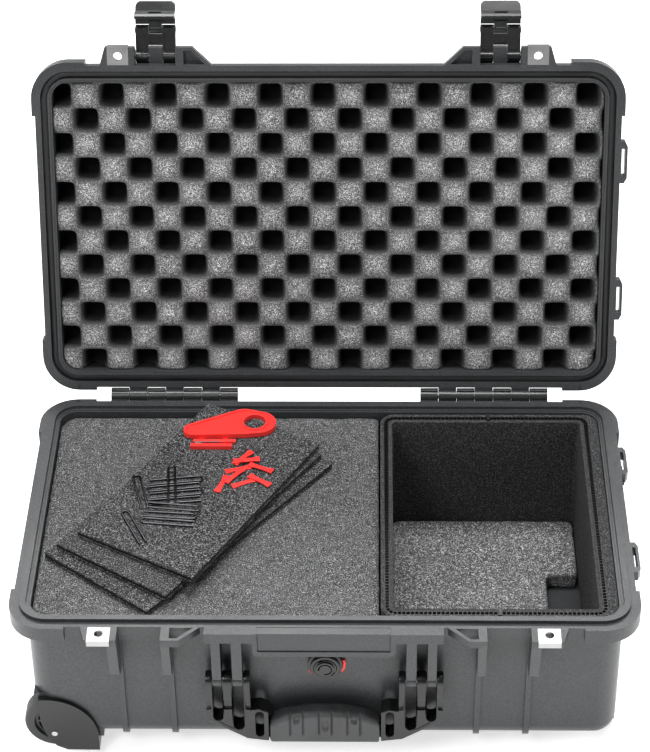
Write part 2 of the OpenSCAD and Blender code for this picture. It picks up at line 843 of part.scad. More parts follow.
module trolley_button() {
    color("black") slab_x(grip_x[1] - 3.4, grip_x[1] + 0.8) translate([0, 11.5]) round_rect(16, 4, 2);
}

module feet() {
    color("black") both_y() difference() {
        bar([foot_x - 17, foot_y - 9, 0], [foot_x + 17, foot_y + 9, base_z]);
        translate([foot_x, foot_y, -1]) cylinder(r = 4.5, h = 5);
        translate([foot_x, foot_y, -1]) cylinder(r = 1.7, h = 30);
    }
}

module foot_screws() {
    color("silver") both_y() translate([foot_x, foot_y, 4]) {
        translate([0, 0, -2]) cylinder(r = 4, h = 2);
        cylinder(r = 1.6, h = base_z - 4.2);
    }
}

// Room that the wheel wells take inside the base, with a little clearance
module well_room() {
    both_y() rod_y(well_r + wall + 0.4, -wall_y, -well_in + wall + 0.4, well_x, well_z);
}

module base_foam_block() {
    color("#55575a") difference() {
        intersection() {
            tub(in_i + 0.3, floor_z + 0.2, part_z);
            bar([-fx, -fy, base_z], [foam_edge_x, fy, foam_top]);
        }
        well_room();
        rod_y(13, -wall_y, -wall_y + 9, 0.6, valve_z);
    }
}

module divider_wall() {
    cx = (bay_x0 + bay_x1) / 2;
    hx = (bay_x1 - bay_x0) / 2;
    color("#2b2c2e") difference() {
        intersection() {
            tub(in_i + 0.3, floor_z + 0.2, part_z);
            translate([cx, 0, base_z]) linear_extrude(liner_top - base_z) round_rect(hx, bay_y, 14);
        }
        translate([cx - liner_more / 2, 0, base_z - 1]) linear_extrude(base_drop + 9)
            round_rect(hx - divider_t - liner_more / 2, bay_y - divider_t, 6);
        for (s = [-1, 1]) bar([cx - 1.2, s * (bay_y - divider_t / 2) - 5.5, liner_top - 40],
            [cx + 1.2, s * (bay_y - divider_t / 2) + 6.5, part_z + 5]);
    }
}

// Pins that close the folded divider wall, front and back
module divider_clips() {
    color("black") for (s = [-1, 1]) translate([(bay_x0 + bay_x1) / 2, s * (bay_y - divider_t / 2), 0]) {
        translate([0, 0, liner_top - 36]) cylinder(r = 1, h = 37);
        bar([-1.6, -4.5, liner_top + 0.2], [1.6, 4.5, liner_top + 2]);
    }
}

module bay_pad() {
    x0 = bay_x0 + divider_t + 0.3;
    x1 = bay_x1 - divider_t - liner_more - 0.3;
    y1 = bay_y - divider_t - 0.3;
    color("#606265") difference() {
        intersection() {
            tub(in_i + 0.3, floor_z + 0.2, part_z);
            translate([(x0 + x1) / 2, 0, base_z]) linear_extrude(pad_top - base_z)
                round_rect((x1 - x0) / 2, y1, 6.2);
        }
        bar([209, -20, base_z], [270, 51, part_z]);
    }
}

// A loose divider panel that lies turned on the foam; x and y place its front corner
module panel(x, y, level) {
    translate([x, y, foam_top + level * panel_t]) rotate(panel_turn[level])
        cube([panel_l[level], panel_w, panel_t - 0.05]);
}

module divider_panel_1() {
    color("#222426") panel(-154, -139.6, 0);
}

module divider_panel_2() {
    color("#222426") panel(-138.5, -127, 1);
}

module divider_panel_3() {
    color("#222426") panel(-115.5, -110.5, 2);
}

// Outline of the cutter's body: a round grip that tapers to the nose
module cutter_outline(inset) {
    hull() {
        translate([12, 1]) circle(19 - inset, $fn = 40);
        translate([26, -0.5]) circle(16 - inset, $fn = 40);
        translate([-36.5, -9]) circle(8.5 - inset, $fn = 40);
    }
}

module cutter_body() {
    color("red") translate(cutter_at) rotate(2) difference() {
        translate([0, 0, 0.8]) linear_extrude(4.8) cutter_outline(0);
        translate([0, 0, 4.6]) linear_extrude(4) difference() {
            cutter_outline(2.4);
            translate([22, 0.5]) circle(12.4, $fn = 40);
        }
        translate([22, 0.5, -1]) cylinder(r = 10.2, h = 12, $fn = 40);
        translate([-30, -10, 0]) cube([34, 14, 2]);
    }
}

// Sliding holder of the cutter: two rails in front of the body and the bridge that ties them
module cutter_blade() {
    color("red") translate(cutter_at) {
        bar([-37, -34, 0], [2, -29.5, 4]);
        bar([-35, -25.5, 0], [5, -21.5, 3]);
        bar([-30, -31, 0], [-25, 2, 0.7]);
        bar([-8, -31, 0], [-3, 2, 0.7]);
    }
}

// One pull tab with flared ends, centred on its own length
module pull_tab() {
    linear_extrude(1.3) polygon([[-12.2, -3.5], [-5, -2.3], [5, -2.3], [12.2, -3.5],
        [12.2, 3.5], [5, 2.3], [-5, 2.3], [-12.2, 3.5]]);
}

// The tabs lie scattered in three layers; each entry is x, y, turn and layer
module pull_tabs() {
    color("red") for (t = [[-78, 53, 51, 1], [-61, 38.5, -25, 1], [-82, 38, 18, 0], [-96, 17, 71, 0],
        [-75.5, 18.5, 26, 0], [-61.5, 20.5, -36, 1], [-74.5, 48, 8, 2], [-85, 27, 52, 1]])
        translate([t[0], t[1], kit_z + t[3] * 1.4]) rotate(t[2]) pull_tab();
}

module u_pin() {
    bend = 3.2;
    rod_x(wire_r, -pin_half, pin_half - bend, -bend, wire_r);
    rod_x(wire_r, -pin_half, pin_half - bend, bend, wire_r);
    translate([pin_half - bend, 0, wire_r]) rotate(-90) rotate_extrude(angle = 180)
        translate([bend, 0]) circle(wire_r);
}

// Six pins lie side by side, two across them and two beside them; each entry is x, y, turn and layer
module u_pins() {
    color("#18191b") for (t = [[-138.5, 21, 8, 0], [-140, 11.4, 188, 0], [-137, 2, 8, 0],
        [-138, -7.4, 187, 0], [-141, -27.5, -5, 0], [-142.5, -37, 174, 0], [-138, -18.6, -7, 1],
        [-141.4, 11.5, 94, 2], [-170, 5, 104, 0], [-172.4, -44, 115, 0]])
        translate([t[0], t[1], kit_z + t[3] * (2 * wire_r + 0.1)]) rotate(t[2]) u_pin();
}

base_shell();
base_lock_plates();
name_plate();
valve_body();
valve_seal();
valve_knob();
hinge_pins();
lid_shell();
lid_gasket();
lid_foam();
lid_lock_plates();
latch_pivot_pins();
latch_link_left();
latch_link_right();
lever_pin_left();
lever_pin_right();
latch_lever_left();
latch_lever_right();
front_handle_frame();
front_handle_grip();
front_handle_pins();
side_handle_frame();
side_handle_grip();
side_handle_pins();
wheel_bracket_front();
wheel_bracket_rear();
wheel_axle_front();
wheel_axle_rear();
wheel_tyre_front();
wheel_tyre_rear();
wheel_hub_front();
wheel_hub_rear();
trolley_housing();
trolley_cover();
trolley_screws();
trolley_end_frame();
trolley_outer_tubes();
trolley_mid_tubes();
trolley_inner_tubes();
trolley_grip();
trolley_button();
feet();
foot_screws();
base_foam_block();
divider_wall();
divider_clips();
bay_pad();
divider_panel_1();
divider_panel_2();
divider_panel_3();
cutter_body();
cutter_blade();
pull_tabs();
u_pins();
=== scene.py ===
import math

import bpy
import numpy as np
from mathutils import Matrix, Vector, noise


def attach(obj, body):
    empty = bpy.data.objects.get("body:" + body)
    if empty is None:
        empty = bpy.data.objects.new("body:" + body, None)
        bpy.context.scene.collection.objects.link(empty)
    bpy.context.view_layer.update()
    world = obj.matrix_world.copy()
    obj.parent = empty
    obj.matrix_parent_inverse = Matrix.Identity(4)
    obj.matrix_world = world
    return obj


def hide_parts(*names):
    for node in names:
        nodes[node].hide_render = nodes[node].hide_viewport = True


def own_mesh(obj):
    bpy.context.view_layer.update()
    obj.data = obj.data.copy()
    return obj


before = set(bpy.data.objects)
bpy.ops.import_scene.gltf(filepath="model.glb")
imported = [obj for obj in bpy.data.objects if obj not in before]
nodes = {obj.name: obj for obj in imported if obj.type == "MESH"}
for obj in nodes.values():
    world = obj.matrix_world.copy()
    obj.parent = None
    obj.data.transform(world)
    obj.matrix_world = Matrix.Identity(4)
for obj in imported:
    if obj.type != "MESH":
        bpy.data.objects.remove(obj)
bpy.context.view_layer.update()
scene = bpy.context.scene

# Sizes shared with the CAD model, in metres
FLANGE_X = 0.273
FLANGE_Y = 0.1584
PART_Z = 0.168
HINGE_Y = FLANGE_Y + 0.0085
LID_OPEN = math.radians(107.3)
INNER = 0.016
FOAM_TOP = PART_Z - 0.006
LINER_TOP = PART_Z - 0.003
BAY_X0 = 0.0492
BAY_X1 = FLANGE_X - INNER - 0.0004
BAY_Y = FLANGE_Y - INNER - 0.0004
DIVIDER_T = 0.0115
LINER_MORE = 0.0055
LINER_LOW = PART_Z - 0.129
PANELS_HIGH = 0.0195
CUTTER_T = 0.0032
GRIP_LOW = PART_Z - 0.1338
GRIP_Y = -(FLANGE_Y + 0.0011)

HINGE = Vector((0, HINGE_Y, PART_Z))
ON_LID = (Matrix.Translation(HINGE) @ Matrix.Rotation(-LID_OPEN, 4, "X")
    @ Matrix.Translation(-HINGE))

# Egg-crate foam: heights above the parting plane with the lid closed, and its pattern
CRATE_PEAK = 0.0045
CRATE_VALLEY = 0.036
CRATE_BACK = 0.0477
CRATE_PITCH = (0.0493, 0.0476)
CRATE_START = (-0.2263, 0.2956)
CRATE_STEPS = (300, 168)
CRATE_CORNER = 0.0155
CRATE_SKIRT = ((0.0375, 1.0), (0.044, 0.985), (CRATE_BACK, 0.955))

# Front grip: heights along half its length, and the places of its pattern
GRIP_HALF = 0.0495
GRIP_DEPTH = 0.0088
GRIP_CORNER = 0.0062
GRIP_END = 0.003
GRIP_STOPS = ((0.015, 0.038), (0.035, 0.0335), (GRIP_HALF, 0.0263))
GRIP_PATTERN_LOW = 0.0118
GROOVES = (-0.0307, -0.0193, -0.0051, 0.0061, 0.02, 0.0315)
GROOVE_HALF = 0.0011
GROOVE_DEEP = 0.0016
RECESSES = (-0.025, 0.0258)
RECESS_HALF = 0.0028
RECESS_DEEP = 0.0022
OVAL_DEEP = 0.0018

# Finish of the CAD pieces
MERGE = 0.00001
EDGE_BEVEL = 0.0004
SHARP_ANGLE = math.radians(35)
KNUCKLE_REACH = 0.0088

# Camera: lens and sensor in millimetres, place in metres, turns in degrees
CAMERA_LENS = 116.1
CAMERA_SENSOR = 36
CAMERA_CLIP = (0.05, 60)
CAMERA_PLACE = (0.0398, -1.6874, 1.6092)
CAMERA_TURNS = ((1.346, "Z"), (52.62, "X"), (-0.726, "Z"))

# Lights: name, place, target, size and power
LIGHTS = (
    ("key", (-0.9, -1.6, 2.1), (0, 0, 0.15), (0.9, 0.7), 24),
    ("side_left", (-1.8, -0.3, 0.9), (0, 0, 0.15), (0.8, 1.2), 14),
    ("side_right", (1.7, -0.5, 0.9), (0, 0, 0.15), (0.8, 1.2), 10),
    ("top", (0.1, 0.3, 2.2), (0, 0, 0.1), (1.3, 0.6), 44),
    ("back", (0.0, 1.8, 2.1), (0, -0.1, 0.2), (2.4, 0.4), 40),
    ("low_front", (0.0, -2.4, 0.35), (0, 0, 0.3), (2.6, 0.5), 3),
)
WORLD_LIGHT = 0.16
FLOOR_HALF = 12
FLOOR_DROP = 0.0005
FLOOR_GLOW = 0.62


# ---------------------------------------------------------------- materials

class Shader:
    """A Principled material with small helpers for its node tree."""

    def __init__(self, name):
        self.material = bpy.data.materials.new(name)
        self.material.use_nodes = True
        self.tree = self.material.node_tree
        self.tree.nodes.clear()
        self.out = self.new("ShaderNodeOutputMaterial")
        self.bsdf = self.new("ShaderNodeBsdfPrincipled")
        self.link(self.bsdf.outputs[0], self.out.inputs["Surface"])
        self.coords = self.new("ShaderNodeTexCoord").outputs["Object"]

    def new(self, kind, **values):
        node = self.tree.nodes.new(kind)
        for key, value in values.items():
            setattr(node, key, value)
        return node

    def link(self, a, b):
        self.tree.links.new(a, b)

    def put(self, node, name, value):
        if hasattr(value, "links"):
            self.link(value, node.inputs[name])
        else:
            node.inputs[name].default_value = value

    def stretched(self, scale, turn=(0, 0, 0)):
        node = self.new("ShaderNodeMapping")
        self.link(self.coords, node.inputs["Vector"])
        node.inputs["Scale"].default_value = scale
        node.inputs["Rotation"].default_value = turn
        return node.outputs[0]

    def noise(self, scale, detail=2.0, rough=0.5, coords=None):
        node = self.new("ShaderNodeTexNoise")
        self.link(coords or self.coords, node.inputs["Vector"])
        node.inputs["Scale"].default_value = scale
        node.inputs["Detail"].default_value = detail
        node.inputs["Roughness"].default_value = rough
        return node.outputs["Fac"]

    def cells(self, scale):
        node = self.new("ShaderNodeTexVoronoi")
        self.link(self.coords, node.inputs["Vector"])
        node.inputs["Scale"].default_value = scale
        return node.outputs["Distance"]

    def level(self):
        """How high a vertex lies between the pits and the peaks of the egg-crate foam; it sets the
        painted shade of the pits.
        """
        node = self.new("ShaderNodeAttribute")
        node.attribute_name = "level"
        return node.outputs["Fac"]

    def span(self, value, a, b, low, high):
        """The value's range from a to b turned into low to high."""
        node = self.new("ShaderNodeMapRange")
        self.link(value, node.inputs["Value"])
        for name, number in (("From Min", a), ("From Max", b), ("To Min", low), ("To Max", high)):
            node.inputs[name].default_value = number
        return node.outputs[0]

    def ramp(self, value, stops):
        node = self.new("ShaderNodeValToRGB")
        self.link(value, node.inputs[0])
        ramp = node.color_ramp
        while len(ramp.elements) < len(stops):
            ramp.elements.new(0.5)
        for element, (place, colour) in zip(ramp.elements, stops):
            element.position = place
            element.color = (*colour, 1)
        return node.outputs[0]

    def mix(self, fac, a, b):
        node = self.new("ShaderNodeMix", data_type="RGBA")
        self.put(node, 0, fac)
        for index, value in ((6, a), (7, b)):
            if hasattr(value, "links"):
                self.link(value, node.inputs[index])
            else:
                node.inputs[index].default_value = (*value, 1)
        return node.outputs[2]

    def maths(self, kind, a, b):
        node = self.new("ShaderNodeMath", operation=kind)
        self.put(node, 0, a)
        self.put(node, 1, b)
        return node.outputs[0]

    def bumps(self, *layers):
        """Stacks bump nodes; each layer is a height value and its depth in metres."""
        normal = None
        for height, depth in layers:
            node = self.new("ShaderNodeBump")
            node.inputs["Distance"].default_value = depth
            node.inputs["Strength"].default_value = 1.0
            self.link(height, node.inputs["Height"])
            if normal:
                self.link(normal, node.inputs["Normal"])
            normal = node.outputs[0]
        self.link(normal, self.bsdf.inputs["Normal"])


def shade(colour, factor):
    return tuple(min(1.0, c * factor) for c in colour)


def moulded(name, colour, rough, grain=700, grain_depth=0.00012, wear=0.5):
    """Moulded plastic with a stippled skin, slow colour drift and faint scuffs."""
    s = Shader(name)
    vary = 0.18
    drift = s.noise(14, 3)
    stipple = s.noise(grain, 3, 0.6)
    scuff = s.noise(9, 6, 0.7, s.stretched((1, 4, 9), (0.3, 0.5, 0.9)))
    base = s.ramp(drift, [(0.3, shade(colour, 1 - vary)), (0.7, shade(colour, 1 + vary))])
    base = s.mix(s.span(stipple, 0.38, 0.6, 0.0, 0.8), base, shade(colour, 0.45))
    worn = s.span(scuff, 0.62, 0.74, 0.0, wear * 0.35)
    base = s.mix(worn, base, shade(colour, 1.9))
    s.link(base, s.bsdf.inputs["Base Color"])
    uneven = s.span(drift, 0.3, 0.7, rough - 0.05, rough + 0.05)
    s.link(s.maths("ADD", uneven, s.maths("MULTIPLY", worn, 0.4)), s.bsdf.inputs["Roughness"])
    s.bumps((stipple, grain_depth), (s.noise(60, 2), 0.00015))
    return s.material


def rubber(name, colour, rough):
    """Matt rubber with a fine skin and a little dust."""
    s = Shader(name)
    fine = s.noise(1100, 2)
    dust = s.noise(25, 4, 0.65)
    base = s.ramp(dust, [(0.35, shade(colour, 0.8)), (0.75, shade(colour, 1.5))])
    s.link(base, s.bsdf.inputs["Base Color"])
    s.link(s.span(dust, 0.3, 0.8, rough - 0.08, rough + 0.12), s.bsdf.inputs["Roughness"])
    s.bumps((fine, 0.00012))
    return s.material


def steel(name, colour, rough=0.28):
    """Bright metal with fine drawing lines and a few dull spots."""
    s = Shader(name)
    brushed = s.noise(1, 3, 0.6, s.stretched((6, 900, 900)))
    dull = s.noise(70, 4, 0.6)
    base = s.ramp(brushed, [(0.3, shade(colour, 0.86)), (0.7, colour)])
    base = s.mix(s.span(dull, 0.55, 0.8, 0.0, 0.35), base, shade(colour, 0.55))
    s.link(base, s.bsdf.inputs["Base Color"])
    s.bsdf.inputs["Metallic"].default_value = 1.0
    s.link(s.span(dull, 0.3, 0.8, rough - 0.06, rough + 0.16), s.bsdf.inputs["Roughness"])
    s.bumps((brushed, 0.00001))
    return s.material


def foam(name, dark, light, grain=1300, depth=0.0004, bright=0.6, painted_pit_shade=False):
    """Cut foam: open cells that show as fine light and dark specks. Wavy foam gets painted shade:
    darker from its peaks down to its saddles, and near black in its pits.
    """
    s = Shader(name)
    specks = s.noise(grain, 2, 0.6)
    clumps = s.noise(grain * 0.3, 2, 0.6)
    pores = s.cells(grain * 0.5)
    middle = tuple((a + b) / 2 * 0.62 for a, b in zip(dark, light))
    base = s.ramp(specks, [
        (0.41, dark), (0.5, middle), (bright - 0.03, light), (bright + 0.03, shade(light, 2.2))])
    base = s.mix(s.span(clumps, 0.38, 0.6, 0.55, 0.0), base, shade(dark, 0.9))
    base = s.mix(s.span(pores, 0.05, 0.4, 0.5, 0.0), base, shade(dark, 0.5))
    base = s.mix(s.span(s.noise(11, 3), 0.35, 0.7, 0.0, 0.12), base, shade(light, 0.9))
    if painted_pit_shade:
        # Painted shade from the vertex level: saddles darker than the peaks, pits near black.
        level = s.level()
        base = s.mix(s.span(level, 0.74, 1.0, 0.92, 0.0), base, shade(dark, 1.1))
        base = s.mix(s.span(level, 0.22, 0.62, 1.0, 0.0), base, shade(dark, 0.25))
    s.link(base, s.bsdf.inputs["Base Color"])
    s.bsdf.inputs["Roughness"].default_value = 0.95
    s.bsdf.inputs["Specular IOR Level"].default_value = 0.12
    s.bumps((specks, depth), (pores, depth * 0.7))
    return s.material


def glossy(name, colour, rough, vary=0.06):
    """Smooth moulded plastic or lacquer with slight waviness and fine scratches."""
    s = Shader(name)
    drift = s.noise(40, 3)
    scratch = s.noise(8, 5, 0.7, s.stretched((3, 60, 60), (0.2, 0.1, 0.7)))
    base = s.ramp(drift, [(0.3, shade(colour, 1 - vary)), (0.7, shade(colour, 1 + vary))])
    s.link(base, s.bsdf.inputs["Base Color"])
    s.link(s.span(scratch, 0.45, 0.75, rough, rough + 0.2), s.bsdf.inputs["Roughness"])
    s.bumps((s.noise(160, 2), 0.00006))
    return s.material


SHELL = moulded("shell_plastic", (0.045, 0.0475, 0.0505), 0.36)
DARK = moulded("dark_plastic", (0.014, 0.0145, 0.015), 0.26,
    grain=900, grain_depth=0.00006, wear=0.35)
ARM = moulded("handle_plastic", (0.009, 0.0095, 0.01), 0.24,
    grain=900, grain_depth=0.00005, wear=0.3)
PLATE = moulded("plate_plastic", (0.044, 0.046, 0.049), 0.36,
    grain=1200, grain_depth=0.00004, wear=0.2)
GRIP = rubber("grip_rubber", (0.04, 0.041, 0.043), 0.5)
SEAL = rubber("seal_rubber", (0.014, 0.014, 0.015), 0.45)
TYRE = rubber("tyre_rubber", (0.045, 0.046, 0.047), 0.62)
STEEL = steel("bright_steel", (0.58, 0.58, 0.575))
SATIN = steel("satin_steel", (0.4, 0.4, 0.397), 0.34)
TUBE = steel("drawn_tube", (0.62, 0.63, 0.64), 0.3)
BLOCK_FOAM = foam("block_foam", (0.027, 0.027, 0.028), (0.2, 0.2, 0.203), grain=1020)
CRATE_FOAM = foam("crate_foam", (0.04, 0.04, 0.041), (0.66, 0.66, 0.665), painted_pit_shade=True)
PAD_FOAM = foam("pad_foam", (0.05, 0.05, 0.05), (0.36, 0.36, 0.36), grain=900, depth=0.0006)
PANEL_FOAM = foam("panel_foam", (0.004, 0.004, 0.0045), (0.15, 0.15, 0.153), grain=880, bright=0.61)
LINER_FOAM = foam("liner_foam", (0.022, 0.022, 0.023), (0.1, 0.1, 0.102), bright=0.62)
CORE = glossy("core_plastic", (0.01, 0.01, 0.011), 0.4)
RED = glossy("red_plastic", (0.86, 0.035, 0.03), 0.3, vary=0.08)
WIRE = steel("pin_wire", (0.07, 0.07, 0.073), 0.16)
BRACKET = moulded("bracket_plastic", (0.012, 0.0125, 0.0135), 0.36, grain=900)
KNUCKLE = moulded("knuckle_plastic", (0.024, 0.025, 0.026), 0.28, grain=900)

NODE_MATERIALS = {
    "base_shell": SHELL, "lid_shell": SHELL, "name_plate": PLATE,
    "base_lock_plates": SATIN, "lid_lock_plates": SATIN, "hinge_pins": STEEL,
    "latch_pivot_pins": STEEL, "lever_pin_left": STEEL, "lever_pin_right": STEEL,
    "front_handle_pins": STEEL, "side_handle_pins": STEEL,
    "wheel_axle_front": STEEL, "wheel_axle_rear": STEEL,
    "trolley_screws": STEEL, "foot_screws": STEEL,
    "lid_gasket": SEAL, "valve_body": DARK, "valve_knob": DARK, "valve_seal": RED,
    "latch_link_left": DARK, "latch_link_right": DARK,
    "latch_lever_left": DARK, "latch_lever_right": DARK,
    "front_handle_frame": ARM, "front_handle_grip": GRIP,
    "side_handle_frame": ARM, "side_handle_grip": GRIP,
    "wheel_bracket_front": BRACKET, "wheel_bracket_rear": BRACKET,
    "wheel_tyre_front": TYRE, "wheel_tyre_rear": TYRE,
    "wheel_hub_front": KNUCKLE, "wheel_hub_rear": KNUCKLE,
    "trolley_housing": DARK, "trolley_cover": DARK, "trolley_end_frame": DARK,
    "trolley_outer_tubes": TUBE, "trolley_mid_tubes": TUBE, "trolley_inner_tubes": TUBE,
    "trolley_grip": GRIP, "trolley_button": GRIP, "feet": SEAL,
    "base_foam_block": BLOCK_FOAM, "lid_foam": CRATE_FOAM, "bay_pad": PAD_FOAM,
    "divider_wall": LINER_FOAM, "divider_clips": CORE,
    "divider_panel_1": PANEL_FOAM, "divider_panel_2": PANEL_FOAM, "divider_panel_3": PANEL_FOAM,
    "cutter_body": RED, "cutter_blade": RED, "pull_tabs": RED, "u_pins": WIRE,
}
BEVELS = {
    "base_shell": 0.0009, "lid_shell": 0.0009,
    "front_handle_frame": 0.0012, "side_handle_frame": 0.0012,
    "cutter_body": 0.0008, "wheel_tyre_front": 0.0006, "wheel_tyre_rear": 0.0006,
}
FLAT = {"wheel_bracket_front", "wheel_bracket_rear", "base_lock_plates", "lid_lock_plates"}
NO_BEVEL = {
    "u_pins", "hinge_pins", "latch_pivot_pins", "lever_pin_left", "lever_pin_right", "lid_gasket",
}


def weld(obj):
    obj.modifiers.new("weld", "WELD").merge_threshold = MERGE


def soften(obj, width):
    """Rounds the CAD edges a little, so that they catch the light."""
    weld(obj)
    if width:
        bevel = obj.modifiers.new("bevel", "BEVEL")
        bevel.width = width
        bevel.segments = 2
        bevel.limit_method = "ANGLE"
        bevel.angle_limit = SHARP_ANGLE
        bevel.use_clamp_overlap = True
    normals = obj.modifiers.new("normals", "WEIGHTED_NORMAL")
    normals.keep_sharp = False


def darken_knuckles(obj):
    """Gives the faces close to the hinge line the darker plastic."""
    obj.data.materials.append(KNUCKLE)
    for face in obj.data.polygons:
        if math.hypot(face.center.y - HINGE_Y, face.center.z - PART_Z) < KNUCKLE_REACH:
            face.material_index = 1


def dress_nodes():
    """Gives every CAD piece its material, smooth shading and soft edges."""
    for name, obj in nodes.items():
        obj.data.materials.clear()
        obj.data.materials.append(NODE_MATERIALS[name])
        if name in FLAT:
            continue
        obj.data.polygons.foreach_set("use_smooth", [True] * len(obj.data.polygons))
        soften(obj, 0 if name in NO_BEVEL else BEVELS.get(name, EDGE_BEVEL))
    for name in ("base_shell", "lid_shell"):
        darken_knuckles(nodes[name])


# ---------------------------------------------------------------- pieces

def piece(name, vertices, faces, material, body, smooth=False):
    """A visible piece that rides on a body."""
    mesh = bpy.data.meshes.new(name)
    mesh.from_pydata([tuple(v) for v in vertices], [], [tuple(f) for f in faces])
    mesh.validate()
    mesh.materials.append(material)
    mesh.polygons.foreach_set("use_smooth", [smooth] * len(mesh.polygons))
    obj = bpy.data.objects.new(name, mesh)
    scene.collection.objects.link(obj)
    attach(obj, body)
    return obj


class Solid:
    """Collects vertices and faces of several closed shapes that make one piece."""

    def __init__(self):
        self.vertices = []
        self.faces = []

    def add(self, vertices, faces, matrix=None):
        start = len(self.vertices)
        for v in vertices:
            self.vertices.append(matrix @ Vector(v) if matrix else Vector(v))
        self.faces.extend([start + i for i in f] for f in faces)

    def box(self, low, high, matrix=None):
        (x0, y0, z0), (x1, y1, z1) = low, high
        corners = [(x0, y0, z0), (x1, y0, z0), (x1, y1, z0), (x0, y1, z0),
            (x0, y0, z1), (x1, y0, z1), (x1, y1, z1), (x0, y1, z1)]
        faces = [(3, 2, 1, 0), (4, 5, 6, 7), (0, 1, 5, 4), (1, 2, 6, 5), (2, 3, 7, 6), (3, 0, 4, 7)]
        self.add(corners, faces, matrix)

    def wall(self, outer, inner, z0, z1):
        """A closed wall between two loops of the same number of points."""
        n = len(outer)
        points = [(*p, z0) for p in outer] + [(*p, z0) for p in inner]
        points += [(*p, z1) for p in outer] + [(*p, z1) for p in inner]
        faces = []
        for i in range(n):
            j = (i + 1) % n
            faces += [(i, j, 2 * n + j, 2 * n + i), (n + j, n + i, 3 * n + i, 3 * n + j),
                (2 * n + i, 2 * n + j, 3 * n + j, 3 * n + i), (n + i, n + j, j, i)]
        self.add(points, faces)

    def piece(self, name, material, body, slot, bevel=0.0):
        obj = piece(name, self.vertices, self.faces, material, body)
        if bevel:
            edge = obj.modifiers.new("bevel", "BEVEL")
            edge.width = bevel
            edge.segments = 2
            edge.limit_method = "ANGLE"
        return obj


def rounded_loop(cx, cy, hx, hy, r, steps=8):
    """Points round a rounded rectangle, counter-clockwise."""
    points = []
    for corner, (sx, sy) in enumerate(((1, 1), (-1, 1), (-1, -1), (1, -1))):
        for i in range(steps + 1):
            a = math.pi / 2 * (corner + i / steps)
            points.append((
                cx + sx * (hx - r) + r * math.cos(a), cy + sy * (hy - r) + r * math.sin(a)))
    return points


def level_frame(x, y, z, along, across):
    """A matrix that moves to a place and turns X and Y into two level directions."""
    return Matrix.Translation((x, y, z)) @ Matrix((
        (along.x, across.x, 0, 0), (along.y, across.y, 0, 0), (0, 0, 1, 0), (0, 0, 0, 1)))


def along_loop(points, pitch):
    """Middle points and directions of short steps along a closed loop."""
    n = len(points)
    places, carry = [], pitch / 2
    for i in range(n):
        a, b = Vector(points[i]), Vector(points[(i + 1) % n])
        length = (b - a).length
        while length > 1e-9 and carry <= length:
            places.append((a + (b - a) * (carry / length), (b - a).normalized()))
            carry += pitch
        carry -= length
    return places


def baked(obj):
    """The mesh of an object with its modifiers applied."""
    graph = bpy.context.evaluated_depsgraph_get()
    return bpy.data.meshes.new_from_object(obj.evaluated_get(graph))


def cut_foam(name, node, material, voxel, wobble):
    """A foam piece with the outline of its CAD node, softly rounded and slightly uneven."""
    obj = bpy.data.objects.new(name, nodes[node].data.copy())
    scene.collection.objects.link(obj)
    weld(obj)
    grid = obj.modifiers.new("grid", "REMESH")
    grid.mode = "VOXEL"
    grid.voxel_size = voxel
    relax = obj.modifiers.new("relax", "SMOOTH")
    relax.iterations = 2
    mesh = baked(obj)
    obj.modifiers.clear()
    obj.data = mesh
    for v in mesh.vertices:
        v.co += v.normal * (noise.noise(v.co * 90) * wobble - wobble * 0.4)
    mesh.materials.clear()
    mesh.materials.append(material)
    mesh.polygons.foreach_set("use_smooth", [True] * len(mesh.polygons))
    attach(obj, "base")
    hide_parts(node)


def crate_wave(u, v):
    """The pattern from -1 in a pit to 1 on a peak: plain, and with flatter tops and pits."""
    a = math.cos(2 * math.pi * (u - CRATE_START[0]) / CRATE_PITCH[0])
    b = math.cos(2 * math.pi * (v - CRATE_START[1]) / CRATE_PITCH[1])
    plain = a * b
    a *= 1.5 - 0.5 * a * a
    b *= 1.5 - 0.5 * b * b
    return plain, a * b


def blended(sharp, plain, share):
    """The sharper wave with a share of the plain one, still from 0 to 1."""
    return (1 - 2 * share) * sharp + share + share * plain


def crate_height(u, v):
    """Height of the foam above the parting plane, lid closed, and its level from 0 to 1, which sets
    its painted shade.
    """
    plain, square = crate_wave(u, v)
    t = min(1.0, max(0.0, 1.0 + square / 0.95))
    t = t * t * (3 - 2 * t)
    level = blended(t, plain, 0.2)
    t = blended(t, plain, 0.075)
    uneven = noise.noise(Vector((u * 35, v * 35, 0.5))) * 0.0009
    return CRATE_VALLEY - (CRATE_VALLEY - CRATE_PEAK) * t + uneven, level


